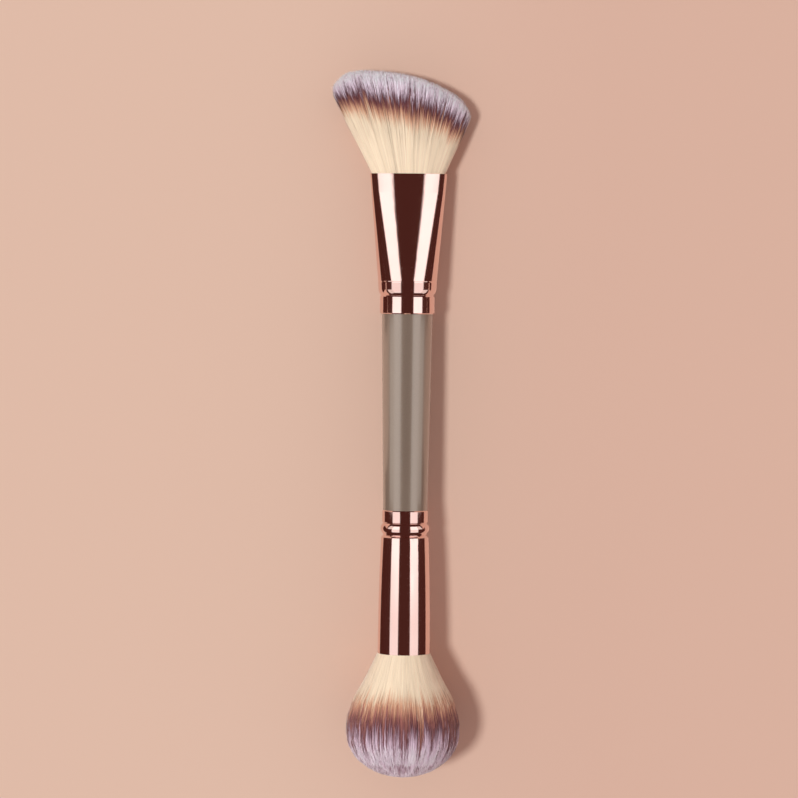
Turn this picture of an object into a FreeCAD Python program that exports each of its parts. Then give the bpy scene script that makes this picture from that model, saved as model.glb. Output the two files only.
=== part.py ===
import FreeCAD, Part
from math import asin, atan2, cos, degrees, pi, sin
import os

from FreeCAD import Vector

# Double ended make-up brush, lying on the bellies of its two bristle heads, in millimetres.
# It is drawn along +Y, with the angled head towards +Y, and is laid down as the last step.
# Y is 0 where the handle meets the powder ferrule, and every station runs from a handle end.

# Turned handle
HANDLE_LENGTH = 52.7
HANDLE_R_WIDE = 6.85
HANDLE_R_NARROW = 5.98
POWDER_SHOULDER = 0.33
TENON_LENGTH_ANGLED = 13.5
TENON_LENGTH_POWDER = 13.5
TENON_CHAMFER = 0.8

# Drawn aluminium ferrules
WALL = 0.5
GLUE_FILM = 0.05
ROLLED_EDGE = 0.25

# Angled ferrule, stations from the handle's wide end
ANGLED_FERRULE_LENGTH = 37.5
CRIMP_STATION = 4.95
CRIMP_WIDTH = 0.7
CRIMP_DEPTH = 0.22
ANGLED_SHOULDER_STATION = 6.5
ANGLED_SHOULDER_R = 7.84
SHOULDER_FULLNESS = 0.6
CREASE_STATION = 8.6
CREASE_WIDTH = 0.4
CREASE_DEPTH = 0.06
CREASE_R = 7.97
MOUTH_HALF_WIDTH = 10.35
MOUTH_HALF_THICKNESS = 4.9
PRESSED_LIP = 5.0

# Powder ferrule, stations from the handle's narrow end
POWDER_FERRULE_LENGTH = 38.6
COLLAR_LENGTH = 3.2
COLLAR_CRIMP_WIDTH = 0.6
COLLAR_CRIMP_DEPTH = 0.2
BEAD_WIDTH = 2.3
BEAD_HEIGHT = 0.4
RING_GROOVE_WIDTH = 1.2
RING_GROOVE_DEPTH = 0.3
BODY_STEP = 0.25
POWDER_MOUTH_R = 7.08

# Powder head, measured from the mouth of its ferrule
POWDER_HEAD_LENGTH = 33.5
POWDER_HEAD_R = 15.2
POWDER_BELLY = 20.0
POWDER_LOCKS = 24
POWDER_LOCK_DEPTH = 0.45
POWDER_CROWN_R = 0.8

# Angled head: its top edge in the plane of the fan, as (across, from the mouth)
ANGLED_TOP_EDGE = [(16.6, 15.5), (15.1, 18.9), (10.2, 22.8), (2.0, 26.1), (-9.0, 27.7), (-18.5, 26.1), (-21.3, 22.4)]
ANGLED_HEAD_HALF_THICKNESS = 7.5
ANGLED_BELLY_SHARE = 0.55
ANGLED_LOCKS = 24
ANGLED_LOCK_DEPTH = 0.3

# Both heads: fullness of the flare and of the dome, the roots inside the ferrule and their tie
FLARE_EASE = 1.1
DOME_FULLNESS = 2.2
ROOT_DEPTH = 14.0
PLUG_LENGTH = 3.0
TIE_ABOVE_ROOT_END = 2.4
TIE_TURNS = 4
THREAD = 0.4
TIE_SINK = 0.55

# Where the heads lie, their tips' hair is pressed flat by this much
PRESSED_FLAT = 0.5

BRUSH_AXIS = Vector(0, 1, 0)
GOLDEN = 0.618034
PRESSED_ARC_COUNT = 64


def turned(start, *moves):
    """A solid turned about the brush's axis. Each move is the next (radius, y), or an arc's middle and end."""
    edges = []
    here = Vector(start[0], start[1], 0)
    for move in moves:
        if isinstance(move[0], tuple):
            middle, there = [Vector(r, y, 0) for r, y in move]
            edges.append(Part.Arc(here, middle, there).toShape())
        else:
            there = Vector(move[0], move[1], 0)
            edges.append(Part.makeLine(here, there))
        here = there
    face = Part.Face(Part.Wire(edges))
    return face.revolve(Vector(0, 0, 0), BRUSH_AXIS, 360)


def oval(y, half_width, half_thickness, arcs=1):
    """An oval across the brush's axis at y, in arcs that end at equal steps of its normal.

    Sheet metal wraps from one such oval to the next along straight lines between equal normals."""
    ellipse = Part.Ellipse(Vector(half_width, y, 0), Vector(0, y, half_thickness), Vector(0, y, 0))
    normals = [2 * pi * step / arcs for step in range(arcs)]
    ends = [atan2(half_thickness * sin(normal), half_width * cos(normal)) % (2 * pi) for normal in normals]
    ends.append(2 * pi)
    return Part.Wire([Part.ArcOfEllipse(ellipse, low, high).toShape() for low, high in zip(ends, ends[1:])])


def oval_prism(y_low, y_high, half_width, half_thickness):
    return Part.Face(oval(y_low, half_width, half_thickness)).extrude(Vector(0, y_high - y_low, 0))


# Stations along the brush
y_wide = HANDLE_LENGTH
y_narrow = 0.0
y_angled_mouth = y_wide + ANGLED_FERRULE_LENGTH
y_powder_mouth = y_narrow - POWDER_FERRULE_LENGTH

# The ferrules' round ends slip over the tenons
tenon_r_angled = HANDLE_R_WIDE
tenon_r_powder = HANDLE_R_NARROW - POWDER_SHOULDER
band_r = tenon_r_angled + GLUE_FILM + WALL
collar_r = tenon_r_powder + GLUE_FILM + WALL


def crimp(y_centre, width, depth, radius, towards):
    """The corners of a groove pressed in with sloping sides, in the order that the outline is drawn."""
    corners = [(radius, -width / 2), (radius - depth, 0), (radius, width / 2)]
    return [(r, y_centre + towards * y) for r, y in corners]


def handle():
    """One turned piece: a taper between two tenons, each with the groove that its ferrule is crimped into."""
    narrow_groove = crimp(
        y_narrow - COLLAR_LENGTH - COLLAR_CRIMP_WIDTH / 2, COLLAR_CRIMP_WIDTH, COLLAR_CRIMP_DEPTH, tenon_r_powder, 1
    )
    wide_groove = crimp(y_wide + CRIMP_STATION, CRIMP_WIDTH, CRIMP_DEPTH, tenon_r_angled, 1)
    y_low = y_narrow - TENON_LENGTH_POWDER
    y_high = y_wide + TENON_LENGTH_ANGLED
    outline = [
        (tenon_r_powder - TENON_CHAMFER, y_low),
        (tenon_r_powder, y_low + TENON_CHAMFER),
        *narrow_groove,
        (tenon_r_powder, y_narrow),
        (HANDLE_R_NARROW, y_narrow),
        (HANDLE_R_WIDE, y_wide),
        *wide_groove,
        (tenon_r_angled, y_high - TENON_CHAMFER),
        (tenon_r_angled - TENON_CHAMFER, y_high),
        (0, y_high),
        (0, y_low),
    ]
    return turned((0, y_low), *outline)


# The angled ferrule is round up to its crease, and is pressed oval from there
press_start = CREASE_STATION + CREASE_WIDTH / 2
lip_start = ANGLED_FERRULE_LENGTH - PRESSED_LIP


def angled_half_width(station):
    """The angled ferrule widens evenly from its crease to its mouth."""
    share = (station - press_start) / (ANGLED_FERRULE_LENGTH - press_start)
    return CREASE_R + (MOUTH_HALF_WIDTH - CREASE_R) * share


def angled_half_thickness(station):
    """It thins evenly from its crease to the pressed lip, which is parallel."""
    share = max(0.0, (lip_start - station) / (lip_start - press_start))
    return MOUTH_HALF_THICKNESS + (CREASE_R - MOUTH_HALF_THICKNESS) * share


def angled_oval(station, inset, arcs=1):
    """The section of the angled ferrule at a station, drawn smaller by inset all round."""
    half_width = angled_half_width(station) - inset
    return oval(y_wide + station, half_width, angled_half_thickness(station) - inset, arcs)


def sewn(faces):
    """A solid from faces that meet edge to edge all round."""
    skin = Part.makeShell(faces)
    skin.sewShape()
    solid = Part.Solid(skin)
    if solid.Volume < 0:
        solid.reverse()
    return solid


# Past its crimp it swells round a shoulder, steep at first
y_crimp_end = y_wide + CRIMP_STATION + CRIMP_WIDTH / 2
shoulder_rise = ANGLED_SHOULDER_R - band_r
shoulder_run = y_wide + ANGLED_SHOULDER_STATION - y_crimp_end
shoulder_middle = (band_r + shoulder_rise * SHOULDER_FULLNESS, y_crimp_end + shoulder_run * (1 - SHOULDER_FULLNESS))


def pressed_end(inset):
    """The oval end, drawn smaller by inset all round: an even taper to the lip, then the lip."""
    stations = (press_start, lip_start, ANGLED_FERRULE_LENGTH)
    ovals = [angled_oval(station, inset, PRESSED_ARC_COUNT) for station in stations]
    faces = [Part.Face(ovals[0]), Part.Face(ovals[-1])]
    for low, high in zip(ovals, ovals[1:]):
        faces += [Part.makeRuledSurface(edge, beside) for edge, beside in zip(low.Edges, high.Edges)]
    return sewn(faces)


def angled_ferrule():
    """A crimped band, a shoulder and a fine crease, then the pressed end. Its bore runs plain under the crease."""
    shape = turned(
        (0, y_wide),
        (band_r - ROLLED_EDGE, y_wide),
        (band_r, y_wide + ROLLED_EDGE),
        *crimp(y_wide + CRIMP_STATION, CRIMP_WIDTH, CRIMP_DEPTH, band_r, 1),
        (shoulder_middle, (ANGLED_SHOULDER_R, y_wide + ANGLED_SHOULDER_STATION)),
        (CREASE_R, y_wide + press_start - CREASE_WIDTH),
        (CREASE_R - CREASE_DEPTH, y_wide + CREASE_STATION),
        (CREASE_R, y_wide + press_start),
        (0, y_wide + press_start),
        (0, y_wide),
    )
    bore = turned(
        (0, y_wide),
        (band_r - WALL, y_wide),
        *crimp(y_wide + CRIMP_STATION, CRIMP_WIDTH, CRIMP_DEPTH, band_r - WALL, 1),
        (CREASE_R - WALL, y_wide + press_start),
        (0, y_wide + press_start),
        (0, y_wide),
    )
    return shape.fuse(pressed_end(0)).cut(bore.fuse(pressed_end(WALL)))


# Stations of the powder ferrule's pressed rings
bead_start = COLLAR_LENGTH + COLLAR_CRIMP_WIDTH
groove_start = bead_start + BEAD_WIDTH
body_start = groove_start + RING_GROOVE_WIDTH
body_r = collar_r + BODY_STEP


def powder_ferrule_r(station):
    """The ferrule's body swells in a parabola that runs level at the mouth."""
    share = (POWDER_FERRULE_LENGTH - station) / (POWDER_FERRULE_LENGTH - body_start)
    return POWDER_MOUTH_R - (POWDER_MOUTH_R - body_r) * share * share


# Inside, the body's swell is bored in two straight tapers
bore_middle = (body_start + POWDER_FERRULE_LENGTH) / 2


def powder_bore_r(station):
    """The radius of the bore at a station of the ferrule's body."""
    low, high = (body_start, bore_middle) if station < bore_middle else (bore_middle, POWDER_FERRULE_LENGTH)
    low_r = collar_r if station < bore_middle else powder_ferrule_r(bore_middle)
    share = (station - low) / (high - low)
    return low_r + (powder_ferrule_r(high) - low_r) * share - WALL


def powder_ferrule():
    """A crimped collar, a bead and a ring groove, then the swelling body. The bore runs plain under the bead."""
    crimp_middle = y_narrow - COLLAR_LENGTH - COLLAR_CRIMP_WIDTH / 2
    bead_middle = y_narrow - bead_start - BEAD_WIDTH / 2
    y_bore_middle = y_narrow - bore_middle
    shape = turned(
        (0, y_narrow),
        (collar_r - ROLLED_EDGE, y_narrow),
        (collar_r, y_narrow - ROLLED_EDGE),
        *crimp(crimp_middle, COLLAR_CRIMP_WIDTH, COLLAR_CRIMP_DEPTH, collar_r, -1),
        ((collar_r + BEAD_HEIGHT, bead_middle), (collar_r, y_narrow - groove_start)),
        (collar_r - RING_GROOVE_DEPTH, y_narrow - groove_start - RING_GROOVE_WIDTH / 2),
        (body_r, y_narrow - body_start),
        ((powder_ferrule_r(bore_middle), y_bore_middle), (POWDER_MOUTH_R, y_powder_mouth)),
        (0, y_powder_mouth),
        (0, y_narrow),
    )
    bore = turned(
        (0, y_narrow),
        (collar_r - WALL, y_narrow),
        *crimp(crimp_middle, COLLAR_CRIMP_WIDTH, COLLAR_CRIMP_DEPTH, collar_r - WALL, -1),
        (collar_r - WALL, y_narrow - body_start),
        (powder_bore_r(bore_middle), y_bore_middle),
        (POWDER_MOUTH_R - WALL, y_powder_mouth),
        (0, y_powder_mouth),
        (0, y_narrow),
    )
    return shape.cut(bore)


def flare(share):
    """0 at the mouth to 1 at the belly, on a quarter sine."""
    return sin(share * pi / 2) ** FLARE_EASE


def dome(angle):
    """(along, across) on a unit dome for an angle from its rim to its crown: a superellipse."""
    return sin(angle) ** (2 / DOME_FULLNESS), cos(angle)


def lock_depth(index, depth):
    """Valleys between locks of hair vary in depth, as the locks do."""
    return depth * (0.7 + 0.6 * ((index * GOLDEN) % 1))


def spline_edge(points):
    curve = Part.BSplineCurve()
    curve.interpolate(points)
    return curve.toShape()


def facet(*corners):
    return Part.Face(Part.makePolygon([*corners, corners[0]]))


def hair_solid(lines, crown):
    """A closed skin of flat facets from ridge to valley all round. Each line runs from the root end to the tip."""
    faces = [facet(*[line[0] for line in lines])]
    if crown:
        faces.append(facet(*[line[-1] for line in lines]))
    for line, beside in zip(lines, lines[1:] + lines[:1]):
        for low, high, low_beside, high_beside in zip(line, line[1:], beside, beside[1:]):
            faces += [facet(low, high, high_beside), facet(low, high_beside, low_beside)]
    return sewn(faces)


# The bundles fill the ferrules' mouths but for a film of glue
bundle_r = POWDER_MOUTH_R - WALL - GLUE_FILM
bundle_half_width = MOUTH_HALF_WIDTH - WALL - GLUE_FILM
bundle_half_thickness = MOUTH_HALF_THICKNESS - WALL - GLUE_FILM
powder_root_r = powder_bore_r(POWDER_FERRULE_LENGTH - ROOT_DEPTH) - GLUE_FILM

FLARE_SHARES = [0.0, 0.15, 0.35, 0.6, 0.8, 1.0]
DOME_STEPS = 6


def powder_profile():
    """(from mouth, radius, groove share) along the powder head: a flared neck, then a full dome."""
    rows = []
    for share in FLARE_SHARES:
        radius = bundle_r + (POWDER_HEAD_R - bundle_r) * flare(share)
        rows.append((POWDER_BELLY * share, radius, share))
    crown_angle = pi / 2 - asin(POWDER_CROWN_R / POWDER_HEAD_R)
    for step in range(1, DOME_STEPS + 1):
        along, across = dome(crown_angle * step / DOME_STEPS)
        rows.append((POWDER_BELLY + (POWDER_HEAD_LENGTH - POWDER_BELLY) * along, POWDER_HEAD_R * across, 1.0))
    return rows


def powder_hair():
    """Round dome of hair in locks, with its straight roots."""
    lines = []
    y_root_end = y_powder_mouth + ROOT_DEPTH
    for index in range(2 * POWDER_LOCKS):
        angle = pi * index / POWDER_LOCKS
        sink = lock_depth(index, POWDER_LOCK_DEPTH) / POWDER_HEAD_R if index % 2 == 0 else 0.0
        x, z = cos(angle), -sin(angle)
        head = []
        for from_mouth, radius, groove in powder_profile():
            r = radius * (1 - sink * groove)
            head.append(Vector(r * x, y_powder_mouth - from_mouth, r * z))
        lines.append([Vector(powder_root_r * x, y_root_end, powder_root_r * z), *head])
    return hair_solid(lines, crown=True)


def angled_tip(share):
    """The point of the top edge that hair from this share of the mouth's half width reaches."""
    return angled_top.valueAt(angled_top.getParameterByLength(angled_top.Length * (1 - share) / 2))


angled_top = spline_edge([Vector(x, y_angled_mouth + y, 0) for x, y in ANGLED_TOP_EDGE])


def angled_profile():
    """(share of the way to the tip, half thickness, groove share) along the hair of the angled head."""
    rows = []
    for share in FLARE_SHARES:
        swell = (ANGLED_HEAD_HALF_THICKNESS - bundle_half_thickness) * flare(share)
        rows.append((ANGLED_BELLY_SHARE * share, bundle_half_thickness + swell, share))
    for step in range(1, DOME_STEPS + 1):
        along, across = dome(pi / 2 * step / DOME_STEPS)
        rows.append((ANGLED_BELLY_SHARE + (1 - ANGLED_BELLY_SHARE) * along, ANGLED_HEAD_HALF_THICKNESS * across, across))
    return rows


def angled_point(width_share, height_share, along, half_thickness):
    """A point of the fan: part of the way from the oval mouth to the top edge, and out by the swell."""
    root = Vector(bundle_half_width * width_share, y_angled_mouth, 0)
    flat = root + (angled_tip(width_share) - root) * along
    return flat + Vector(0, 0, half_thickness * height_share)


def angled_hair():
    """Flat fan of hair in locks, whose two faces close in along a slanted top edge."""
    lines = []
    root_station = ANGLED_FERRULE_LENGTH - ROOT_DEPTH
    root_half_width = angled_half_width(root_station) - WALL - GLUE_FILM
    for index in range(2 * ANGLED_LOCKS):
        angle = pi * index / ANGLED_LOCKS
        sink = lock_depth(index, ANGLED_LOCK_DEPTH) / ANGLED_HEAD_HALF_THICKNESS if index % 2 else 0.0
        x, z = cos(angle), -sin(angle)
        head = []
        for along, half_thickness, groove in angled_profile():
            keep = 1 - sink * groove
            head.append(angled_point(x * keep, z * keep, along, half_thickness))
        head[-1] = angled_tip(x)
        root_end = Vector(root_half_width * x, y_wide + root_station, bundle_half_thickness * z)
        lines.append([root_end, *head])
    return hair_solid(lines, crown=False)


def winding(y_low, half_width, half_thickness):
    """Turns of thread side by side round the roots, drawn as one band."""
    length = TIE_TURNS * THREAD
    inner_width = half_width - TIE_SINK + GLUE_FILM
    inner_thickness = half_thickness - TIE_SINK + GLUE_FILM
    band = oval_prism(y_low, y_low + length, half_width, half_thickness)
    return band.cut(oval_prism(y_low, y_low + length, inner_width, inner_thickness))


def waist(hair, y_low, half_width, half_thickness):
    """The hair with the waist that its tie pulls in, a film wider than the tie."""
    y_start = y_low - GLUE_FILM
    y_end = y_low + TIE_TURNS * THREAD + GLUE_FILM
    sleeve = oval_prism(y_start, y_end, half_width + WALL, half_thickness + WALL)
    core = oval_prism(y_start, y_end, half_width - TIE_SINK, half_thickness - TIE_SINK)
    return hair.cut(sleeve.cut(core))


def powder_plug():
    """Resin cast on the root ends, inside the ferrule's swell."""
    start = POWDER_FERRULE_LENGTH - ROOT_DEPTH - PLUG_LENGTH
    low_r = powder_bore_r(start) - GLUE_FILM
    y_high = y_powder_mouth + ROOT_DEPTH
    y_far = y_high + PLUG_LENGTH
    return turned((0, y_high), (powder_root_r, y_high), (low_r, y_far), (0, y_far), (0, y_high))


def angled_plug():
    """Resin cast on the root ends, following the ferrule's oval."""
    station = ANGLED_FERRULE_LENGTH - ROOT_DEPTH
    ovals = [angled_oval(place, WALL + GLUE_FILM) for place in (station, station - PLUG_LENGTH)]
    return Part.makeLoft(ovals, True, True)


UNDER_STEPS = 10
TILT_CORRECTIONS = 12
angled_reach = angled_tip(0).y - y_angled_mouth


def lowest(points, tilt):
    """The lowest height of a line of (y, z) points once the brush is tilted."""
    return min(z * cos(tilt) - y * sin(tilt) for y, z in points)


def under_line(profile, place):
    """The head's underside in the plane of the axis, in short steps between its profile's rows."""
    fine = []
    for (low, low_z, _), (high, high_z, _) in zip(profile, profile[1:]):
        for step in range(UNDER_STEPS):
            share = step / UNDER_STEPS
            fine.append((place(low + (high - low) * share), -(low_z + (high_z - low_z) * share)))
    return fine


def resting_tilt():
    """The tilt at which both bellies touch the ground, found by a few corrections."""
    powder_under = under_line(powder_profile(), lambda from_mouth: y_powder_mouth - from_mouth)
    angled_under = under_line(angled_profile(), lambda share: y_angled_mouth + angled_reach * share)
    span = y_angled_mouth - y_powder_mouth
    tilt = 0.0
    for _ in range(TILT_CORRECTIONS):
        tilt += (lowest(angled_under, tilt) - lowest(powder_under, tilt)) / span
    return tilt, lowest(powder_under, tilt)


tie_powder_y = y_powder_mouth + ROOT_DEPTH - TIE_ABOVE_ROOT_END - TIE_TURNS * THREAD
tie_angled_y = y_angled_mouth - ROOT_DEPTH + TIE_ABOVE_ROOT_END
tie_powder_r = powder_root_r - GLUE_FILM
tie_half_width = angled_half_width(tie_angled_y - y_wide) - WALL - 2 * GLUE_FILM
tie_half_thickness = bundle_half_thickness - GLUE_FILM

pieces = {
    "handle": handle(),
    "angled_ferrule": angled_ferrule(),
    "powder_ferrule": powder_ferrule(),
    "angled_bristles": waist(angled_hair(), tie_angled_y, tie_half_width, tie_half_thickness),
    "powder_bristles": waist(powder_hair(), tie_powder_y, tie_powder_r, tie_powder_r),
    "angled_root_tie": winding(tie_angled_y, tie_half_width, tie_half_thickness),
    "powder_root_tie": winding(tie_powder_y, tie_powder_r, tie_powder_r),
    "angled_glue_plug": angled_plug(),
    "powder_glue_plug": powder_plug(),
}

# Laid down: both bellies on the ground, their hair pressed flat there, and the origin under the middle
tilt, floor_z = resting_tilt()
laid = FreeCAD.Rotation(Vector(1, 0, 0), -degrees(tilt))
brush_length = POWDER_HEAD_LENGTH + POWDER_FERRULE_LENGTH + HANDLE_LENGTH + ANGLED_FERRULE_LENGTH + angled_reach
ground_corner = Vector(-brush_length, -brush_length, floor_z + PRESSED_FLAT - brush_length)
ground = Part.makeBox(2 * brush_length, 2 * brush_length, brush_length, ground_corner)
for name, piece in pieces.items():
    piece.Placement = FreeCAD.Placement(Vector(0, 0, 0), laid).multiply(piece.Placement)
    pieces[name] = piece.cut(ground) if name.endswith("bristles") else piece

box = Part.makeCompound([pieces["angled_bristles"], pieces["powder_bristles"]]).optimalBoundingBox(False, False)
to_origin = Vector(-box.Center.x, -box.Center.y, -box.ZMin)
os.makedirs("parts", exist_ok=True)
for name, piece in pieces.items():
    piece.translate(to_origin)
    piece.exportStep("parts/" + name + ".step")
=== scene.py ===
from math import cos, pi, radians, sin

import bpy
import numpy as np
from mathutils import Matrix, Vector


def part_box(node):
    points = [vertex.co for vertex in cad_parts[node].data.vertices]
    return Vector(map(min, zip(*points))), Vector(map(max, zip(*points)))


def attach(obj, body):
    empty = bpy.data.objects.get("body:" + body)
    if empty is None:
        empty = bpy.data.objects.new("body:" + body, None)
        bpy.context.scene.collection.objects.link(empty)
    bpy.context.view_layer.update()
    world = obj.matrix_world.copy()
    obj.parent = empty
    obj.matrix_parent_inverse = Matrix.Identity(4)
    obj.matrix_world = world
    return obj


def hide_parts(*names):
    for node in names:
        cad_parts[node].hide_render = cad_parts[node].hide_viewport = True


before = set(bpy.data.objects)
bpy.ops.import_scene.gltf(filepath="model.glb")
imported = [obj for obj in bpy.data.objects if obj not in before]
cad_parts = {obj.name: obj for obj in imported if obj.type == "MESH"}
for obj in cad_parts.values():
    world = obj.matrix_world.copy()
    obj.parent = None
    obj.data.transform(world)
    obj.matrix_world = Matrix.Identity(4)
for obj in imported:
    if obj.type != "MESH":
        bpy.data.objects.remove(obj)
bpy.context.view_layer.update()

MM = 0.001

# The brush's axis, in metres
# It runs through the two ties round the hair's roots, which sit on it inside the ferrules. Both ends
# of the brush are drawn from their ferrule's mouth: across (x), up (square to the axis) and outwards.

TIE_BEHIND_MOUTH = 10.8 * MM


def middle(node):
    """The middle of a CAD piece's box."""
    low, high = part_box(node)
    return (np.array(low) + np.array(high)) / 2


powder_tie = middle("powder_root_tie")
angled_tie = middle("angled_root_tie")
along_brush = (angled_tie - powder_tie) / np.linalg.norm(angled_tie - powder_tie)
across_brush = np.array([1.0, 0.0, 0.0])
above_brush = np.cross(across_brush, along_brush)
angled_mouth = angled_tie + along_brush * TIE_BEHIND_MOUTH
powder_mouth = powder_tie - along_brush * TIE_BEHIND_MOUTH


# Handle
# One turned piece of wood, sprayed with a taupe lacquer that holds fine pearl flakes, and polished.
# The ferrules are pushed over its two tenons and crimped.

MIX_FACTOR = 0
MIX_FIRST_COLOUR = 6
MIX_SECOND_COLOUR = 7
MIX_COLOUR_OUT = 2
OBJECT_PLACE_OUT = 3


class Wire:
    """One output in a material's node tree. Arithmetic on it adds Math nodes."""

    def __init__(self, tree, socket=None):
        self.tree = tree
        self.socket = socket

    def node(self, kind, settings=None, inputs=None, out=0):
        """Adds a node: its settings first, then the values or links of its sockets."""
        node = self.tree.nodes.new("ShaderNode" + kind)
        for name, value in (settings or {}).items():
            if name == "stops":
                set_stops(node.color_ramp, value)
            else:
                setattr(node, name, value)
        for name, value in (inputs or {}).items():
            if isinstance(value, Wire):
                self.tree.links.new(value.socket, node.inputs[name])
            else:
                node.inputs[name].default_value = value
        return Wire(self.tree, node.outputs[out] if len(node.outputs) else None)

    def math(self, operation, *values):
        """A Math node on the values."""
        return self.node("Math", {"operation": operation}, dict(enumerate(values)))

    def __add__(self, other):
        return self.math("ADD", self, other)

    def __rsub__(self, other):
        return self.math("SUBTRACT", other, self)

    def __mul__(self, other):
        return self.math("MULTIPLY", self, other)

    __rmul__ = __mul__

    def between(self, low, high):
        """0 below low and 1 above high, with a smooth step between."""
        ends = {"Value": self, "From Min": low, "From Max": high}
        return self.node("MapRange", {"interpolation_type": "SMOOTHSTEP"}, ends)

    def mix(self, factor, first, second, blend="MIX"):
        """A colour that goes from first to second, or to a blend of both, as factor goes from 0 to 1."""
        sockets = {MIX_FACTOR: factor, MIX_FIRST_COLOUR: first, MIX_SECOND_COLOUR: second}
        return self.node("Mix", {"data_type": "RGBA", "blend_type": blend}, sockets, out=MIX_COLOUR_OUT)

    def grey(self):
        """The grey that is as bright as this value."""
        return self.node("CombineColor", None, {"Red": self, "Green": self, "Blue": self})

    def part(self, axis):
        """One part of a vector: 0 for x, 1 for y, 2 for z."""
        return self.node("SeparateXYZ", None, {"Vector": self}, out=axis)

    def place(self):
        """Where a point is on its piece, in metres."""
        return self.node("TexCoord", out=OBJECT_PLACE_OUT)

    def noise(self, where, scale, detail=2.0):
        """Soft random spots, scale of them to a metre."""
        return self.node("TexNoise", None, {"Vector": where, "Scale": scale, "Detail": detail})


def set_stops(ramp, stops):
    """A ramp's stops from (place, colour) pairs."""
    while len(ramp.elements) < len(stops):
        ramp.elements.new(1.0)
    for element, (place, colour) in zip(ramp.elements, stops):
        element.position = place
        element.color = colour


def colour(red, green, blue):
    """A colour as a screen shows it, from 0 to 255, turned to the linear values that light adds up in."""
    shares = np.array([red, green, blue]) / 255
    linear = np.where(shares <= 0.04045, shares / 12.92, ((shares + 0.055) / 1.055) ** 2.4)
    return (*linear.tolist(), 1.0)


def new_material(name):
    """An empty material: its first wire, and a function that makes its surface from shader inputs."""
    material = bpy.data.materials.new(name)
    material.use_nodes = True
    tree = material.node_tree
    tree.nodes.clear()
    start = Wire(tree)

    def surface(**inputs):
        """Makes the material's surface from the shader's inputs by name, with _ for a space."""
        named = {name.replace("_", " "): value for name, value in inputs.items()}
        shader = start.node("BsdfPrincipled", None, named)
        start.node("OutputMaterial", None, {"Surface": shader})

    return material, start, surface


def dress(node, material):
    """Gives a CAD piece its finish."""
    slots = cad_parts[node].data.materials
    slots.clear()
    slots.append(material)


def smooth(node):
    """Shades a CAD piece by the normals that it came with."""
    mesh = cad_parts[node].data
    mesh.polygons.foreach_set("use_smooth", np.ones(len(mesh.polygons), dtype=bool))


LACQUER = (0.285, 0.208, 0.158, 1.0)
LACQUER_LIGHT = (0.325, 0.242, 0.186, 1.0)
FLAKES_PER_METRE = 5200.0
CLOUDS_PER_METRE = 60.0
FLAKE_SHARE = 0.6

lacquer, start, surface = new_material("handle_lacquer")
place = start.place()
flakes = start.noise(place, FLAKES_PER_METRE, 1.0).between(0.35, 0.7)
cloud = start.noise(place, CLOUDS_PER_METRE)
surface(
    Base_Color=start.mix(flakes * FLAKE_SHARE + cloud * (1 - FLAKE_SHARE), LACQUER, LACQUER_LIGHT),
    Metallic=0.4,
    Roughness=cloud * 0.06 + 0.3,
    Coat_Weight=1.0,
    Coat_IOR=1.7,
    Coat_Roughness=0.14,
)
dress("handle", lacquer)
smooth("handle")


# Ferrules
# Drawn aluminium tubes, pressed and rolled to shape, polished, and anodised in rose gold. Each is glued
# and crimped on its tenon, and has faint drawing lines along it.

ROSE_GOLD = (0.91, 0.625, 0.565, 1.0)
ROSE_GOLD_DEEP = (0.88, 0.59, 0.53, 1.0)
LINES_PER_METRE = 2600.0
LINE_STRETCH = 0.02
LINE_DEPTH = 0.02 * MM
PATCHES_PER_METRE = 90.0

metal, start, surface = new_material("rose_gold_metal")
place = start.place()
drawn = start.node("Mapping", None, {"Vector": place, "Scale": (1.0, LINE_STRETCH, 1.0)})
lines = start.noise(drawn, LINES_PER_METRE, 3.0)
patches = start.noise(place, PATCHES_PER_METRE)
surface(
    Base_Color=start.mix(patches.between(0.35, 0.75), ROSE_GOLD, ROSE_GOLD_DEEP),
    Metallic=1.0,
    Roughness=lines * 0.05 + patches * 0.03 + 0.05,
    Normal=start.node("Bump", None, {"Strength": 0.03, "Distance": LINE_DEPTH, "Height": lines}),
)
for ferrule in ("angled_ferrule", "powder_ferrule"):
    dress(ferrule, metal)
    smooth(ferrule)


# Ties and plugs at the roots
# Inside each ferrule the hair is bound with thread, and its root ends are set in amber resin. Nothing
# of them shows on the finished brush.

THREAD = (0.72, 0.68, 0.60, 1.0)
THREAD_LIGHT = (0.80, 0.76, 0.68, 1.0)
FUZZ_PER_METRE = 4000.0
FUZZ_DEPTH = 0.1 * MM
RESIN = (0.66, 0.47, 0.18, 1.0)
RESIN_LIGHT = (0.74, 0.56, 0.25, 1.0)
MURK_PER_METRE = 500.0

thread, start, surface = new_material("tie_thread")
place = start.place()
fuzz = start.noise(place, FUZZ_PER_METRE, 3.0)
surface(
    Base_Color=start.mix(fuzz, THREAD, THREAD_LIGHT),
    Roughness=fuzz * 0.2 + 0.7,
    Normal=start.node("Bump", None, {"Strength": 0.3, "Distance": FUZZ_DEPTH, "Height": fuzz}),
)
dress("powder_root_tie", thread)
dress("angled_root_tie", thread)

resin, start, surface = new_material("root_resin")
place = start.place()
murk = start.noise(place, MURK_PER_METRE, 3.0)
surface(Base_Color=start.mix(murk, RESIN, RESIN_LIGHT), Roughness=murk * 0.1 + 0.15)
dress("powder_glue_plug", resin)
dress("angled_glue_plug", resin)


# Hair of both heads
# Fine tapered synthetic filament, dyed in bands: cream from the root, then a burnt brown that darkens
# to plum, then pale lilac tips. Loose ends draw together in small locks.

HAIR_R = 0.062 * MM
LOWEST = HAIR_R * 1.5
HAIR_TAPER = 0.55
CROWDING = 0.4
UNDER_MOUTH = 1.2 * MM
INNER_REACH = 8.0 * MM

# The head's share in a hair's normal, and how far that leans towards the tips.
HEAD_NORMAL = 0.62
AHEAD_SHARE = 0.4

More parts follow.
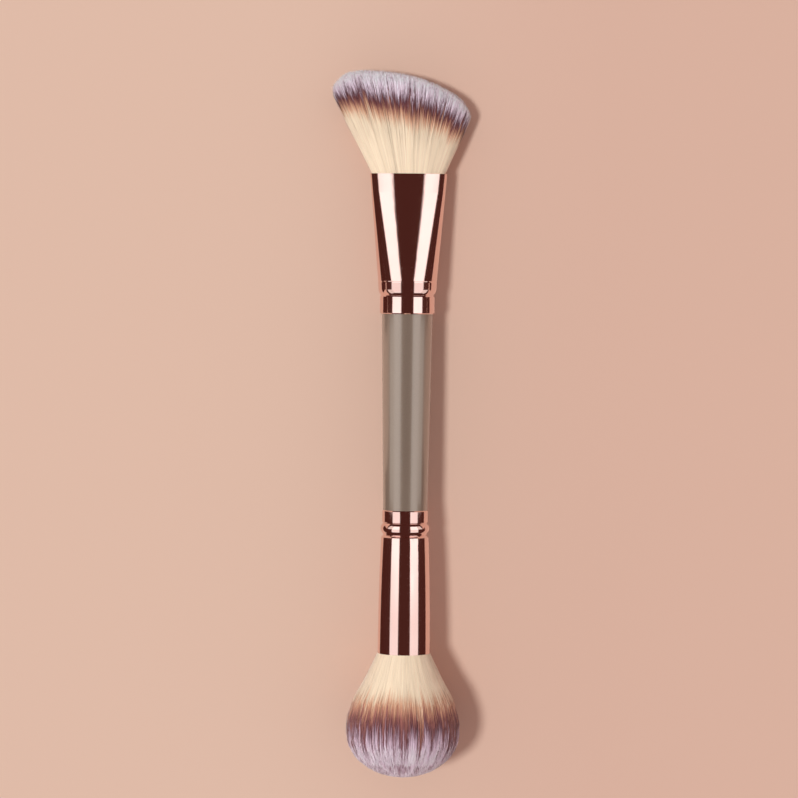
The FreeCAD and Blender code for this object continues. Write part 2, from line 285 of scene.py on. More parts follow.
# The hair's map has a tone for each hair across it, and the distance from the tip up it.
HAIR_MAP = "OFBake"
TONE_SPAN = 0.96
TONE_EDGE = 0.01
CORNER_SPAN = 0.004
MAP_REACH = 40 * MM
DYE_SLACK = 6 * MM

PALE = colour(255, 250, 254)
LILAC = colour(254, 228, 244)
PLUM = colour(96, 50, 62)
ROSE_BROWN = colour(140, 80, 76)
SOFT_PALE = colour(255, 236, 244)
SOFT_LILAC = colour(246, 212, 230)
SOFT_PLUM = colour(128, 78, 86)
SOFT_ROSE = colour(176, 110, 100)
RUST = colour(230, 170, 136)
CREAM = colour(255, 229, 200)
# Darker copies of the dye's colours for the core under the hairs: painted shade deep in the head.
SHADED_PLUM = colour(84, 44, 52)
SHADED_RUST = colour(160, 102, 82)
SHADED_CREAM = colour(255, 224, 192)
TONE_JUMBLE = 37.0
SHADE_LOW = 0.87
SHADE_SPAN = 0.26

rng = np.random.default_rng(21)


def unit(vectors):
    """The vectors scaled to a length of 1."""
    return vectors / np.linalg.norm(vectors, axis=-1, keepdims=True)


def ease(share):
    """A smooth step from 0 to 1."""
    share = np.clip(share, 0.0, 1.0)
    return share * share * (3 - 2 * share)


def new_piece(name, points, triangles, uv, material, normals=None):
    """A piece of the brush from arrays.

    They are its corners, its triangles by the corners' numbers, each corner's place on the hair's map,
    and each corner's normal where the mesh's own isn't wanted."""
    mesh = bpy.data.meshes.new(name)
    mesh.vertices.add(len(points))
    mesh.vertices.foreach_set("co", points.astype(np.float32).ravel())
    mesh.loops.add(triangles.size)
    mesh.loops.foreach_set("vertex_index", triangles.astype(np.int32).ravel())
    mesh.polygons.add(len(triangles))
    mesh.polygons.foreach_set("loop_start", np.arange(0, triangles.size, 3, dtype=np.int32))
    mesh.polygons.foreach_set("use_smooth", np.ones(len(triangles), dtype=bool))
    mesh.update(calc_edges=True)
    layer = mesh.uv_layers.new(name=HAIR_MAP)
    layer.data.foreach_set("uv", uv[triangles.ravel()].astype(np.float32).ravel())
    if normals is not None:
        mesh.normals_split_custom_set_from_vertices(normals)
    mesh.materials.append(material)
    piece = bpy.data.objects.new(name, mesh)
    bpy.context.scene.collection.objects.link(piece)
    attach(piece, "root")
    return piece


def hairs(name, lines, outward, dye_and_shade_reach, tone, material):
    """Hairs along lines of points, as closed three-sided prisms.

    The corners of a ring stand at thirds of a turn round the line's point, and the rings narrow along
    the way to the last point, the tip. A corner's normal is a blend of its own direction from the line
    and of the head's outward direction, so that the head catches light as one soft body."""
    count, stations = lines.shape[:2]
    rings = stations - 1
    ahead = unit(lines[:, -1] - lines[:, 0])
    side = unit(np.cross(ahead, unit(rng.normal(size=(count, 3)))))
    other = np.cross(ahead, side)
    turn = 2 * pi * np.arange(3) / 3
    around = np.cos(turn)[:, None] * side[:, None, :] + np.sin(turn)[:, None] * other[:, None, :]
    taper = HAIR_R * (1 - HAIR_TAPER * (np.arange(rings) / (rings - 1)) ** 2)
    body = lines[:, :-1, None, :] + taper[None, :, None, None] * around[:, None, :, :]
    points = np.concatenate([body.reshape(count, -1, 3), lines[:, -1:, :]], axis=1)
    blend = unit((1 - HEAD_NORMAL) * around[:, None, :, :] + HEAD_NORMAL * outward[:, :-1, None, :])
    normals = np.concatenate([blend.reshape(count, -1, 3), outward[:, -1:, :]], axis=1)
    corner = np.arange(3)
    following = (corner + 1) % 3
    low = (3 * np.arange(rings - 1)[:, None] + corner).ravel()
    beside = (3 * np.arange(rings - 1)[:, None] + following).ravel()
    walls = [np.stack([low, beside, beside + 3], 1), np.stack([low, beside + 3, low + 3], 1)]
    last = 3 * (rings - 1)
    point = np.stack([last + corner, last + following, np.full(3, last + 3)], 1)
    one = np.concatenate([*walls, point, [[0, 2, 1]]])
    per_hair = 3 * rings + 1
    triangles = (one[None] + (per_hair * np.arange(count))[:, None, None]).reshape(-1, 3)
    along = np.repeat(dye_and_shade_reach[:, :-1, None], 3, axis=2).reshape(count, -1)
    v = np.clip((np.concatenate([along, dye_and_shade_reach[:, -1:]], axis=1) + DYE_SLACK) / MAP_REACH, 0.0, 1.0)
    across = np.append(np.tile(corner, rings), 1) * CORNER_SPAN
    u = tone[:, None] * TONE_SPAN + TONE_EDGE + across[None, :]
    uv = np.stack([u.ravel(), v.ravel()], 1)
    return new_piece(name, points.reshape(-1, 3), triangles, uv, material, normals.reshape(-1, 3))


def steps(stations, point):
    """Shares of a hair's way at its stations, closer towards the end. The last step is the tip's point."""
    even = np.linspace(0, 1, stations - 1)
    return np.append(even * (1 + CROWDING - CROWDING * even) * (1 - point), 1.0)


def hair_material(name, bands):
    """Hair with bands of colour, from (millimetres from the tip, colour) pairs, and a tone for each hair.
    """
    material, start, surface = new_material(name)
    uv = start.node("UVMap", {"uv_map": HAIR_MAP})
    tone = uv.part(0)
    far = uv.part(1)
    jumble = tone.math("FRACT", tone * TONE_JUMBLE)
    stops = [((place * MM + DYE_SLACK) / MAP_REACH, tint) for place, tint in bands]
    band_colour = start.node("ValToRGB", {"stops": stops}, {"Fac": far})
    shade = (tone * SHADE_SPAN + SHADE_LOW).grey()
    surface(
        Base_Color=start.mix(1.0, band_colour, shade, "MULTIPLY"),
        Roughness=jumble * 0.15 + 0.45,
        Specular_IOR_Level=0.4,
        Sheen_Weight=0.5,
        Sheen_Roughness=0.4,
        Sheen_Tint=(1.0, 0.95, 0.92, 1.0),
    )
    return material


POWDER_BANDS = [
    (1.0, SOFT_PALE), (4.4, SOFT_LILAC), (8.6, SOFT_PLUM), (11.6, SOFT_ROSE), (14.2, RUST), (17.2, CREAM)
]
ANGLED_BANDS = [(2.2, PALE), (4.3, LILAC), (6.6, PLUM), (8.2, ROSE_BROWN), (9.8, RUST), (12.2, CREAM)]
# The core's bands are painted shade: the dye's colours darkened where the hair lies deep.
CORE_SHADED_BANDS = [(9.0, SHADED_PLUM), (13.0, SHADED_RUST), (17.0, SHADED_CREAM)]

powder_hair = hair_material("bristle_fibre", POWDER_BANDS)
angled_hair = hair_material("bristle_fibre_slanted", ANGLED_BANDS)
hair_core = hair_material("bristle_core", CORE_SHADED_BANDS)


# Powder head
# A round bundle that flares from its ferrule and is cut to a full dome. The outer hairs follow the
# dome's side, and the inner ones show only their ends. The dark dye is drawn down into the pale tips in
# streaks, which are painted shade between the hair ends.

POWDER_ROOT_R = 6.50 * MM
POWDER_R = 15.2 * MM
POWDER_BELLY = 20.0 * MM
POWDER_LENGTH = 33.5 * MM
FLARE_EASE = 1.1
DOME_POWER = 2.1
POWDER_CUT = 24.8 * MM
CUT_RANGE = 5.0 * MM
CROWN_OVER = 0.35 * MM
TUCK = 0.5 * MM
INSET = 0.015
POWDER_LOCKS = 3600
LOCK_SPREAD = 0.985
OUTER_HAIRS = 5700
INNER_HAIRS = 8800
OUTER_STATIONS = 7
INNER_STATIONS = 4
WHOLE_POINT = 0.014
END_POINT = 0.045
LOCK_JITTER = 0.25 * MM
HAIR_JITTER = 0.35 * MM
STRAY = 0.18 * MM
PULL = 0.5
# Streaks of dark dye drawn into the pale tips are painted shade between the hair ends. The dye bands under
# them are real.
STREAKS = 200
STREAK_PARTS = 6
DARK_SHARE = 0.62
DARK_EDGE = 0.3
DARK_SHIFT = 6.6 * MM
DARK_REACH = 13.5 * MM
LOCK_DYE_JITTER = 0.6 * MM
HAIR_DYE_JITTER = 1.1 * MM
CORE_SHARE = 0.92
CORE_AROUND = 96
CORE_STEPS = 14
CORE_SHORT = 2.2 * MM
CORE_CROWN = 12 * MM
CORE_CROWN_END = 0.3 * MM
CORE_TONE = 0.3
CORE_TONE_SWING = 0.2
CORE_TONE_TURN = 9.0


def flare(share):
    """0 at the mouth to 1 at the belly, on a quarter of a sine wave raised to FLARE_EASE."""
    return np.sin(np.clip(share, 0.0, 1.0) * pi / 2) ** FLARE_EASE


def dome(share):
    """1 at the belly to 0 at the crown: across^p + along^p = 1."""
    return (1 - np.clip(share, 0.0, 1.0) ** DOME_POWER) ** (1 / DOME_POWER)


def flared_r(s):
    """The head's radius at a distance s from the ferrule's mouth, before its dome closes in."""
    return POWDER_ROOT_R + (POWDER_R - POWDER_ROOT_R) * flare(s / POWDER_BELLY)


def powder_r(s):
    """The head's outline: its radius at a distance s, with the dome."""
    return flared_r(s) * dome((s - POWDER_BELLY) / (POWDER_LENGTH - POWDER_BELLY))


def disc(count, inner, outer):
    """Points spread evenly by area over a ring of the unit disc."""
    r = np.sqrt(rng.uniform(inner**2, outer**2, count))
    turn = rng.uniform(0, 2 * pi, count)
    return np.stack([r * np.cos(turn), r * np.sin(turn)], 1)


def nearest(points, centres):
    """For each point, the number of the centre that lies closest."""
    return np.argmax(points @ centres.T - (centres**2).sum(1) / 2, axis=1)


def sunflower(count):
    """Points spread evenly over the unit disc, each a golden angle on from the last."""
    number = np.arange(count) + 0.5
    r = np.sqrt(number / count)
    turn = number * pi * (3 - 5**0.5)
    return np.stack([r * np.cos(turn), r * np.sin(turn)], 1)


def powder_places(root, s):
    """Where hairs from root places on the unit disc are at distances s.

    A root place is scaled out by the flare, and is held within the outline, a little deeper as far as
    the belly."""
    q = np.linalg.norm(root, axis=-1)[:, None]
    tuck = TUCK * (1 - ease((s - POWDER_BELLY) / (POWDER_CUT - POWDER_BELLY)))
    r = np.minimum(q * flared_r(s), powder_r(s - tuck) * (1 - INSET + INSET * q))
    return root[:, None, :] * (r / np.maximum(q, 1e-6))[..., None]


def to_brush(mouth, outwards, places, s):
    """From places across and above the axis, and distances from a mouth, to points of the scene."""
    flat = places[..., :1] * across_brush + places[..., 1:] * above_brush
    points = mouth + flat + s[..., None] * outwards
    points[..., 2] = np.maximum(points[..., 2], LOWEST)
    return points


powder_locks = sunflower(POWDER_LOCKS) * LOCK_SPREAD
lock_reach = rng.normal(0, LOCK_JITTER, POWDER_LOCKS)
lock_dye = rng.normal(0, LOCK_DYE_JITTER, POWDER_LOCKS)
streak_start = rng.uniform(0, 1, STREAKS)
streak_dark = DARK_SHIFT * ease((DARK_SHARE - rng.uniform(0, 1, (STREAKS, STREAK_PARTS))) / DARK_EDGE)
lock_tone = rng.uniform(0, 1, POWDER_LOCKS)


def painted_shade_streaks(root):
    """How far the dark dye is drawn towards the tips, by narrow strips of the root disc, cut in parts. The
    shift is painted shade between the hair ends.
    """
    turn = np.arctan2(root[:, 1], root[:, 0]) / (2 * pi) + 0.5
    strip = np.minimum((turn * STREAKS).astype(int), STREAKS - 1)
    q = np.linalg.norm(root, axis=1)
    part = (q * (STREAK_PARTS - 1) + streak_start[strip]).astype(int)
    return streak_dark[strip, np.minimum(part, STREAK_PARTS - 1)]


def powder_hairs(name, count, inner, outer, stations, whole):
    """Hairs of the powder head from a ring of the root disc, whole or only their ends.

    Each is drawn over its second half towards the middle of its lock. Its tip is on the dome, or past
    the cut at the side, and a random bit short of it."""
    root = disc(count, inner, outer)
    q = np.linalg.norm(root, axis=1)
    lock = nearest(root, powder_locks)
    on_dome = POWDER_BELLY + (POWDER_LENGTH - POWDER_BELLY) * dome(q) + CROWN_OVER
    tip = np.maximum(on_dome, POWDER_CUT + rng.uniform(0, CUT_RANGE, count))
    tip -= np.abs(lock_reach[lock] + rng.normal(0, HAIR_JITTER, count))
    begin = np.full(count, -UNDER_MOUTH) if whole else tip - INNER_REACH
    s = begin[:, None] + (tip - begin)[:, None] * steps(stations, WHOLE_POINT if whole else END_POINT)
    own = powder_places(root, s)
    drawn = powder_places(powder_locks[lock], s)
    pull = PULL * ease((s / tip[:, None] - 0.5) / 0.5)
    places = own + (drawn - own) * pull[..., None]
    stray = rng.normal(0, STRAY, (count, 1, 2)) * ease(s / tip[:, None])[..., None] ** 2
    dye_and_shade_reach = np.maximum(on_dome, POWDER_CUT + CUT_RANGE / 2)[:, None] - s
    # Drawing the dark dye towards the tips here paints shade between the hair ends.
    dye_and_shade_reach = dye_and_shade_reach + painted_shade_streaks(root)[:, None] * (1 - ease(dye_and_shade_reach / DARK_REACH))
    dye_and_shade_reach = dye_and_shade_reach + (lock_dye[lock] + rng.normal(0, HAIR_DYE_JITTER, count))[:, None]
    tone = np.clip(0.5 * lock_tone[lock] + 0.5 * rng.uniform(0, 1, count), 0, 1)
    lines = to_brush(powder_mouth, -along_brush, places + stray, s)
    ahead = AHEAD_SHARE * np.maximum(s - POWDER_BELLY, 0.0) / (POWDER_LENGTH - POWDER_BELLY) ** 2
    outward = (places[..., :1] * across_brush + places[..., 1:] * above_brush) / POWDER_R**2
    outward = unit(outward - ahead[..., None] * along_brush)
    piece = hairs(name, lines, outward, dye_and_shade_reach, tone, powder_hair)
    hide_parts("powder_bristles")


def core(name, rings, from_tip, material):
    """A closed body from rings of points: the first is closed by a fan, and the last across itself."""
    count, around = rings.shape[:2]
    points = np.concatenate([rings.reshape(-1, 3), rings[0].mean(axis=0)[None]])
    ring = np.arange(around)
    following = (ring + 1) % around
    low = (around * np.arange(count - 1)[:, None] + ring).ravel()
    beside = (around * np.arange(count - 1)[:, None] + following).ravel()
    walls = [np.stack([low, beside, beside + around], 1), np.stack([low, beside + around, low + around], 1)]
    fan = np.stack([following, ring, np.full(around, count * around)], 1)
    top = around * (count - 1)
    step = np.arange(around // 2)
    mirror = (around - step) % around
    back = mirror - 1
    lid = [
        np.stack([top + step, top + step + 1, top + back], 1),
        np.stack([top + step, top + back, top + mirror], 1),
    ]
    triangles = np.concatenate([*walls, fan, *lid])
    corners = points[triangles]
    size = np.linalg.norm(np.cross(corners[:, 1] - corners[:, 0], corners[:, 2] - corners[:, 0]), axis=1)
    triangles = triangles[size > 0]
    tone = CORE_TONE + CORE_TONE_SWING * np.cos(ring * CORE_TONE_TURN)
    u = np.append(np.tile(tone, count), CORE_TONE)
    v = (np.append(np.repeat(from_tip, around), from_tip[0]) + DYE_SLACK) / MAP_REACH
    return new_piece(name, points, triangles, np.stack([u, v], 1), material)


turns = 2 * pi * np.arange(CORE_AROUND) / CORE_AROUND
core_side = np.linspace(-UNDER_MOUTH, POWDER_BELLY - CORE_SHORT, CORE_STEPS)
core_crown = POWDER_LENGTH - CORE_SHORT - np.linspace(CORE_CROWN, CORE_CROWN_END, CORE_STEPS)
powder_s = np.concatenate([core_side, core_crown])
r = CORE_SHARE * powder_r(powder_s + CORE_SHORT * ease(powder_s / POWDER_BELLY))
ring_places = r[:, None, None] * np.stack([np.cos(turns), -np.sin(turns)], 1)[None]
ring_s = np.repeat(powder_s[:, None], CORE_AROUND, axis=1)
ring_points = to_brush(powder_mouth, -along_brush, ring_places, ring_s)
piece = core("powder_hair_core", ring_points, POWDER_LENGTH - powder_s, hair_core)
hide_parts("powder_bristles")

powder_hairs("powder_hair_outer", OUTER_HAIRS, 0.93, 1.0, OUTER_STATIONS, True)
powder_hairs("powder_hair_rim", INNER_HAIRS, 0.72, 0.96, INNER_STATIONS, False)
powder_hairs("powder_hair_crown", INNER_HAIRS, 0.0, 0.76, INNER_STATIONS, False)


# Angled head
# A flat bundle from the pressed oval mouth, fanned out and cut on a slant, so that its left side is
# long and its right side short. Its two faces close in towards the cut edge.

ANGLED_ROOT_HALF_WIDTH = 9.78 * MM
ANGLED_ROOT_HALF_THICKNESS = 4.33 * MM
ANGLED_HALF_THICKNESS = 7.5 * MM
ANGLED_HALF_WIDTH = 18.0 * MM
ANGLED_BELLY = 0.55
ANGLED_CUT = 0.90
ANGLED_CUT_RANGE = 0.075
ANGLED_TUCK = 0.02
CUT_EDGE = np.array([
    (16.6, 15.5), (15.1, 18.9), (10.2, 22.8), (2.0, 26.1), (-9.0, 27.7), (-18.5, 26.1), (-21.3, 22.4)
]) * MM
CUT_STEPS = 400
ROUND_CORNER = 0.07
ROUND_CUT = 0.05
DYE_BREADTH = np.array([
    (-21.3, 9.6), (-19.0, 8.8), (-17.0, 9.6), (-9.0, 11.4), (-2.0, 11.6), (17.0, 10.4)
]) * MM
DYE_MIDDLE = 9.7 * MM
EDGE_TURN = -18.5 * MM
EDGE_SLOPE = 0.2
ANGLED_LOCKS = 2800
ANGLED_LOCK_JITTER = 0.008
ANGLED_HAIR_JITTER = 0.012
ANGLED_STRAY = 0.15 * MM
ANGLED_PULL = 0.42
# Some of the locks have the dark dye drawn into the pale tips, less so at the long corner: painted shade
# between the hair ends.
ANGLED_DARK_SHARE = 0.55
ANGLED_DARK_EDGE = 0.4
ANGLED_DARK_SHIFT = 3.4 * MM
ANGLED_DARK_REACH = 10.5 * MM
CORNER_DARK = 0.25
CORNER_REACH = 0.5
ANGLED_LOCK_DYE_JITTER = 0.5 * MM
ANGLED_HAIR_DYE_JITTER = 0.8 * MM
ANGLED_CORE_LOW = -0.04
ANGLED_CORE_TURN = 0.60
ANGLED_CORE_TOP = 0.93
ANGLED_CORE_STEPS = 12
ANGLED_REACH = 26 * MM


def smooth_curve(knots, fine):
    """A natural cubic spline through the knots, by the distance between them, at even steps of length."""
    chord = np.append(0, np.cumsum(np.linalg.norm(np.diff(knots, axis=0), axis=1)))
    gap = np.diff(chord)
    slope = np.diff(knots, axis=0) / gap[:, None]
    system = np.eye(len(knots))
    bends = np.zeros_like(knots)
    for row in range(1, len(knots) - 1):
        system[row, row - 1:row + 2] = gap[row - 1], 2 * (gap[row - 1] + gap[row]), gap[row]
        bends[row] = 6 * (slope[row] - slope[row - 1])
    second = np.linalg.solve(system, bends)
    where = np.linspace(0, chord[-1], fine)
    part = np.clip(np.searchsorted(chord, where, side="right") - 1, 0, len(gap) - 1)
    h = gap[part][:, None]
    a = (chord[part + 1] - where)[:, None] / h
    b = 1 - a
    curved = ((a**3 - a) * second[part] + (b**3 - b) * second[part + 1]) * h * h / 6
    line = a * knots[part] + b * knots[part + 1] + curved
    length = np.append(0, np.cumsum(np.linalg.norm(np.diff(line, axis=0), axis=1)))
    even = np.linspace(0, length[-1], fine)
    return np.stack([np.interp(even, length, line[:, axis]) for axis in range(2)], 1)


cut_line = smooth_curve(CUT_EDGE, CUT_STEPS)


def cut_place(share):
    """The point of the cut edge, across and outwards, for a share of the mouth's half width."""
    where = (1 - share) / 2 * (len(cut_line) - 1)
    count = np.arange(len(cut_line))
    return np.stack([np.interp(where, count, cut_line[:, axis]) for axis in range(2)], -1)


def dye_place(places):
    """Distance down from the cut edge, as the dye counts it: the bands narrow towards the long corner."""
    x, s = places[..., 0], places[..., 2]
    top = np.interp(np.maximum(x, EDGE_TURN), cut_line[::-1, 0], cut_line[::-1, 1])
    top = top + EDGE_SLOPE * np.minimum(x - EDGE_TURN, 0.0)
    return (top - s) * DYE_MIDDLE / np.interp(x, DYE_BREADTH[:, 0], DYE_BREADTH[:, 1])


def angled_thickness(v):
    """Half the head's thickness at a share v of the way to the cut edge: without its close, and with it."""
    grow = ANGLED_HALF_THICKNESS - ANGLED_ROOT_HALF_THICKNESS
    flared = ANGLED_ROOT_HALF_THICKNESS + grow * flare(v / ANGLED_BELLY)
    return flared, flared * dome((v - ANGLED_BELLY) / (1 - ANGLED_BELLY))


def angled_places(root, v):
    """Where hairs from root places on the unit disc are at shares v of their way.

    In the plane of the fan each goes straight from the mouth to the cut edge. Across it, it follows
    the flare until it meets the closing face. The places are (across, above, outwards)."""
    a = root[:, :1]
    b = root[:, 1:]
    room = np.sqrt(np.maximum(1 - a * a, 0.0))
    edge = cut_place(a[:, 0])
    x = ANGLED_ROOT_HALF_WIDTH * a + (edge[:, :1] - ANGLED_ROOT_HALF_WIDTH * a) * v
    s = edge[:, 1:] * v
    flared, _ = angled_thickness(v)
    _, limit = angled_thickness(v - ANGLED_TUCK)
    z = np.sign(b) * np.minimum(np.abs(b) * flared, room * limit)
    return np.stack([x, z, s], -1)


def to_angled(places):
    """From places across, above and outwards to points of the scene."""
    return to_brush(angled_mouth, along_brush, places[..., :2], places[..., 2])


angled_locks = sunflower(ANGLED_LOCKS) * LOCK_SPREAD
angled_lock_reach = rng.normal(0, ANGLED_LOCK_JITTER, ANGLED_LOCKS)
angled_lock_dye = rng.normal(0, ANGLED_LOCK_DYE_JITTER, ANGLED_LOCKS)
dark_draw = rng.uniform(0, 1, ANGLED_LOCKS)
angled_lock_dark = ANGLED_DARK_SHIFT * ease((ANGLED_DARK_SHARE - dark_draw) / ANGLED_DARK_EDGE)
angled_lock_tone = rng.uniform(0, 1, ANGLED_LOCKS)


def angled_hairs(name, count, inner, outer, stations, whole):
    """Hairs of the angled head from a ring of the root disc, whole or only their ends.

    They are drawn into locks as in the powder head, and cut shorter at the long corner, which rounds it."""
    root = disc(count, inner, outer)
    a, b = root[:, 0], root[:, 1]
    lock = nearest(root, angled_locks)
    depth = np.abs(b) / np.sqrt(np.maximum(1 - a * a, 1e-4))
    tip = ANGLED_BELLY + (1 - ANGLED_BELLY) * dome(depth)
    tip = np.maximum(tip, ANGLED_CUT + rng.uniform(0, ANGLED_CUT_RANGE, count))
    tip -= np.abs(angled_lock_reach[lock] + rng.normal(0, ANGLED_HAIR_JITTER, count))
    tip -= ROUND_CUT * ease((ROUND_CORNER - 1 - a) / ROUND_CORNER)
    reach = np.linalg.norm(cut_place(a) - np.stack([ANGLED_ROOT_HALF_WIDTH * a, 0 * a], 1), axis=1)
    begin = -UNDER_MOUTH / reach if whole else tip - INNER_REACH / reach
    v = begin[:, None] + (tip - begin)[:, None] * steps(stations, WHOLE_POINT if whole else END_POINT)
    own = angled_places(root, v)
    drawn = angled_places(angled_locks[lock], v)
    pull = ANGLED_PULL * ease((v / tip[:, None] - 0.5) / 0.5)
    places = own + (drawn - own) * pull[..., None]
    stray = rng.normal(0, ANGLED_STRAY, (count, 1, 3)) * ease(v / tip[:, None])[..., None] ** 2
    tone = np.clip(0.5 * angled_lock_tone[lock] + 0.5 * rng.uniform(0, 1, count), 0, 1)
    dye_and_shade_reach = dye_place(own)
    # Drawing the dark dye of some locks towards the tips paints shade between the hair ends.
    dark = angled_lock_dark[lock] * (CORNER_DARK + (1 - CORNER_DARK) * ease((a + 1) / CORNER_REACH))
    dye_and_shade_reach = dye_and_shade_reach + dark[:, None] * (1 - ease(dye_and_shade_reach / ANGLED_DARK_REACH))
    dye_and_shade_reach = dye_and_shade_reach + (angled_lock_dye[lock] + rng.normal(0, ANGLED_HAIR_DYE_JITTER, count))[:, None]
    ahead = AHEAD_SHARE * np.maximum(v - ANGLED_BELLY, 0.0) / (1 - ANGLED_BELLY) ** 2 / reach[:, None]
    outward = own[..., :1] / ANGLED_HALF_WIDTH**2 * across_brush
    outward = outward + own[..., 1:2] / ANGLED_HALF_THICKNESS**2 * above_brush
    outward = unit(outward + ahead[..., None] * along_brush)
    piece = hairs(name, to_angled(places + stray), outward, dye_and_shade_reach, tone, angled_hair)
    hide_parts("angled_bristles")


core_side = np.linspace(ANGLED_CORE_LOW, ANGLED_BELLY, CORE_STEPS)
core_crown = np.linspace(ANGLED_CORE_TURN, ANGLED_CORE_TOP, ANGLED_CORE_STEPS)
angled_v = np.concatenate([core_side, core_crown])
ring_root = CORE_SHARE * np.stack([np.cos(turns), -np.sin(turns)], 1)
core_places = angled_places(ring_root, np.repeat(angled_v[None], CORE_AROUND, axis=0))
_, closed = angled_thickness(angled_v)
core_places[..., 1] = ring_root[:, 1:] * closed[None]
core_points = to_angled(core_places).transpose(1, 0, 2)
piece = core("angled_hair_core", core_points, (1 - angled_v) * ANGLED_REACH, hair_core)
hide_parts("angled_bristles")

angled_hairs("angled_hair_outer", OUTER_HAIRS, 0.90, 1.0, OUTER_STATIONS, True)
angled_hairs("angled_hair_rim", INNER_HAIRS, 0.66, 0.94, INNER_STATIONS, False)
angled_hairs("angled_hair_middle", INNER_HAIRS, 0.0, 0.70, INNER_STATIONS, False)


# Floor
# A wide smooth sheet of pale paper that the brush lies on, with painted shade that makes it a little darker
# and pinker towards the right.

PAPER = colour(222, 186, 167)
PAPER_SHADED_RIGHT = colour(216, 176, 158)
PAPER_FROM = -40 * MM
PAPER_TO = 60 * MM
FLOOR_HALF = 4.0


def sheet(name, corners, material, reflected_only=False):
    """A flat four-cornered piece of the set. Some are seen in polished surfaces and nowhere else."""
    mesh = bpy.data.meshes.new(name)
    mesh.from_pydata(corners, [], [(0, 1, 2, 3)])
    mesh.materials.append(material)
    piece = bpy.data.objects.new(name, mesh)
    bpy.context.scene.collection.objects.link(piece)
    if reflected_only:
        piece.visible_camera = False
        piece.visible_diffuse = False
        piece.visible_shadow = False
        piece.visible_transmission = False


def level_corners(left, right, low, high, z):
    """The corners of a level sheet, face up."""
    return [(left, low, z), (right, low, z), (right, high, z), (left, high, z)]


paper, start, surface = new_material("pale_paper")
# Painted shade: the paper darkens and turns pinker towards the right.
shade_rightwards = start.place().part(0).between(PAPER_FROM, PAPER_TO)
surface(Base_Color=start.mix(shade_rightwards, PAPER, PAPER_SHADED_RIGHT), Roughness=0.9, Specular_IOR_Level=0.1)
sheet("floor", level_corners(-FLOOR_HALF, FLOOR_HALF, -FLOOR_HALF, FLOOR_HALF, 0.0), paper)


# Dark cards
# Four dark cards lie to the left and right of the two ferrules, out to the floor's edge. Only polished
# surfaces see them, and they give the ferrules their dark flanks.

CARD_LEFT = -24 * MM
CARD_RIGHT = 52 * MM
CARD_LOW = -15 * MM
CARD_HIGH = 23 * MM
CARD_HEIGHT = 0.3 * MM
CARD_COLOUR = (0.07, 0.022, 0.017, 1.0)

card, start, surface = new_material("dark_card")
surface(Base_Color=CARD_COLOUR, Roughness=1.0, Specular_IOR_Level=0.0)
for side, left, right in (("left", -FLOOR_HALF, CARD_LEFT), ("right", CARD_RIGHT, FLOOR_HALF)):
    for end, low, high in (("powder", -FLOOR_HALF, CARD_LOW), ("angled", CARD_HIGH, FLOOR_HALF)):
        sheet(f"card_{side}_{end}", level_corners(left, right, low, high, CARD_HEIGHT), card, True)


# Panels
# Two low glowing panels stand beside the handle, seen by polished surfaces only. They widen the two
# soft bands on the lacquer.

PANEL_LEFT = -60 * MM
PANEL_RIGHT = 70 * MM
PANEL_FOOT = 18 * MM
PANEL_TOP = 48 * MM
PANEL_LOW = -26 * MM
PANEL_HIGH = 27 * MM
PANEL_GLOW = 0.85
PANEL_COLOUR = (1.0, 0.97, 0.93, 1.0)
BLACK = (0.0, 0.0, 0.0, 1.0)

panel, start, surface = new_material("panel")
surface(Base_Color=BLACK, Emission_Color=PANEL_COLOUR, Emission_Strength=PANEL_GLOW)
panel_sides = [
    (PANEL_LOW, PANEL_FOOT), (PANEL_HIGH, PANEL_FOOT), (PANEL_HIGH, PANEL_TOP), (PANEL_LOW, PANEL_TOP)
]
for name, x in (("panel_left", PANEL_LEFT), ("panel_right", PANEL_RIGHT)):
    sheet(name, [(x, y, z) for y, z in panel_sides], panel, True)


# Light
# A soft dome, brighter low down, and a lamp high on the left that gives the shadow. Polished metal
# shows two long soft boxes, to the left and to the right, with dark between them and past their ends.

BOX_TOP = radians(26)
BOX_FOOT = radians(65)
BOX_EDGE = radians(1.5)
BOX_END = radians(50)
BOX_END_EDGE = radians(3)
BOX_LOW = 1.08
BOX_HIGH = 1.5
LEVEL_FROM = -0.05
LEVEL_TO = 0.03
DARK = (0.072, 0.024, 0.019, 1.0)
DOME_TOP = 0.32
DOME_FOOT = 0.80
DOME_TINT = (1.10, 0.93, 0.91, 1.0)
LAMP_TINT = (0.92, 1.055, 1.07)
LAMP_TILT = radians(20)
LAMP_WIDTH = radians(9)
LAMP_LIGHT = 1.86
CAMERA_RAY_OUT = 0
GLOSSY_RAY_OUT = 3

world = bpy.data.worlds.new("studio")
bpy.context.scene.world = world
world.use_nodes = True
world.node_tree.nodes.clear()
start = Wire(world.node_tree)
way = start.node("TexCoord")
x, y, z = [way.part(axis) for axis in range(3)]

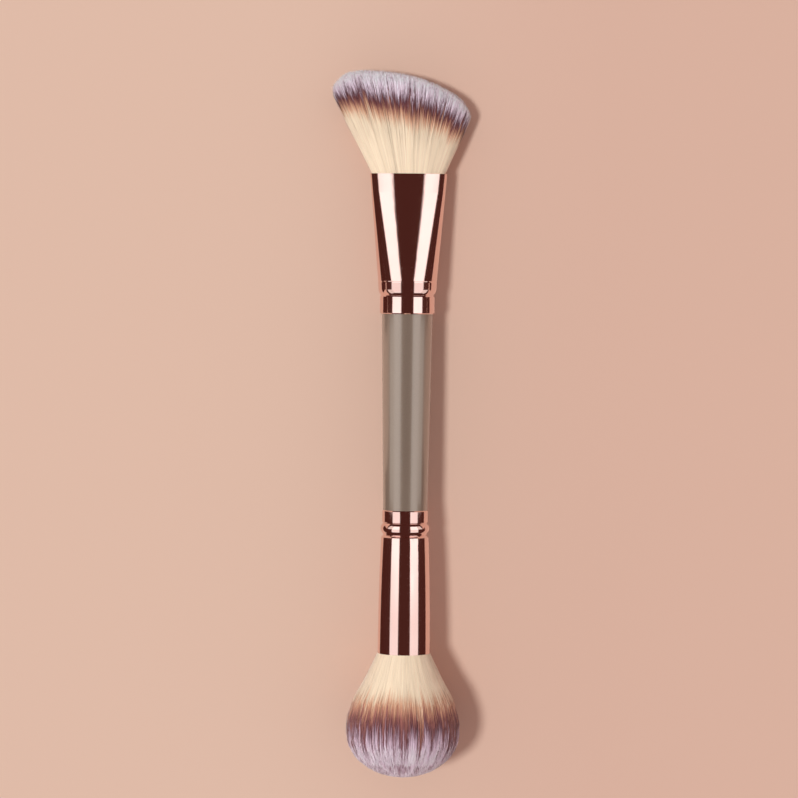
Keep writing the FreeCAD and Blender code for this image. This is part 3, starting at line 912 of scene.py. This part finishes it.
# The boxes' edges go by the direction half-way between a ray and straight up, with its angles counted
# twice, so that a straight tube seen from above shows them with straight edges.
raised = z + 1
from_top = 2 * x.math("ARCTAN2", x.math("ABSOLUTE", x), raised)
to_end = 2 * x.math("ARCTAN2", y.math("ABSOLUTE", y), x.math("SQRT", x * x + raised * raised))
above_foot = 1 - from_top.between(BOX_FOOT - BOX_EDGE, BOX_FOOT + BOX_EDGE)
short_of_end = 1 - to_end.between(BOX_END - BOX_END_EDGE, BOX_END + BOX_END_EDGE)
in_box = from_top.between(BOX_TOP - BOX_EDGE, BOX_TOP + BOX_EDGE) * above_foot * short_of_end
box_level = y.between(LEVEL_FROM, LEVEL_TO) * (BOX_HIGH - BOX_LOW) + BOX_LOW
boxes = start.mix(in_box, DARK, box_level.grey())
dome_level = z.between(0.0, 1.0) * (DOME_TOP - DOME_FOOT) + DOME_FOOT
dome_light = start.mix(1.0, dome_level.grey(), DOME_TINT, "MULTIPLY")
seen = start.node("LightPath", out=CAMERA_RAY_OUT)
mirrored = start.node("LightPath", out=GLOSSY_RAY_OUT)
studio = start.mix(mirrored, dome_light, boxes)
background = start.node("Background", None, {"Color": start.mix(seen, studio, PAPER)})
start.node("OutputWorld", None, {"Surface": background})

data = bpy.data.lights.new("lamp", "SUN")
data.angle = LAMP_WIDTH
data.energy = LAMP_LIGHT
data.color = LAMP_TINT
lamp = bpy.data.objects.new("lamp", data)
lamp.rotation_euler = (0.0, -LAMP_TILT, 0.0)
lamp.visible_glossy = False
bpy.context.scene.collection.objects.link(lamp)


# Camera
# About a metre above the brush, nearly straight over its angled end, turned a little so that the brush
# leans to the right.

EYE = np.array([0.0, 90.0, 1000.0]) * MM
TARGET = np.array([0.373, 6.842, 10.0]) * MM
ROLL = radians(0.6)
LENS = 166.75
SENSOR = 36.0

data = bpy.data.cameras.new("camera")
data.lens = LENS
data.sensor_width = SENSOR
camera = bpy.data.objects.new("camera", data)
bpy.context.scene.collection.objects.link(camera)
look = unit(TARGET - EYE)
right = unit(np.cross(look, [0.0, 1.0, 0.0]))
up = np.cross(right, look)
rolled_right = right * cos(ROLL) + up * sin(ROLL)
rolled_up = up * cos(ROLL) - right * sin(ROLL)
turned = Matrix([rolled_right, rolled_up, -look]).transposed().to_4x4()
camera.matrix_world = Matrix.Translation(EYE) @ turned
bpy.context.scene.camera = camera

bpy.context.scene.view_settings.view_transform = "Standard"
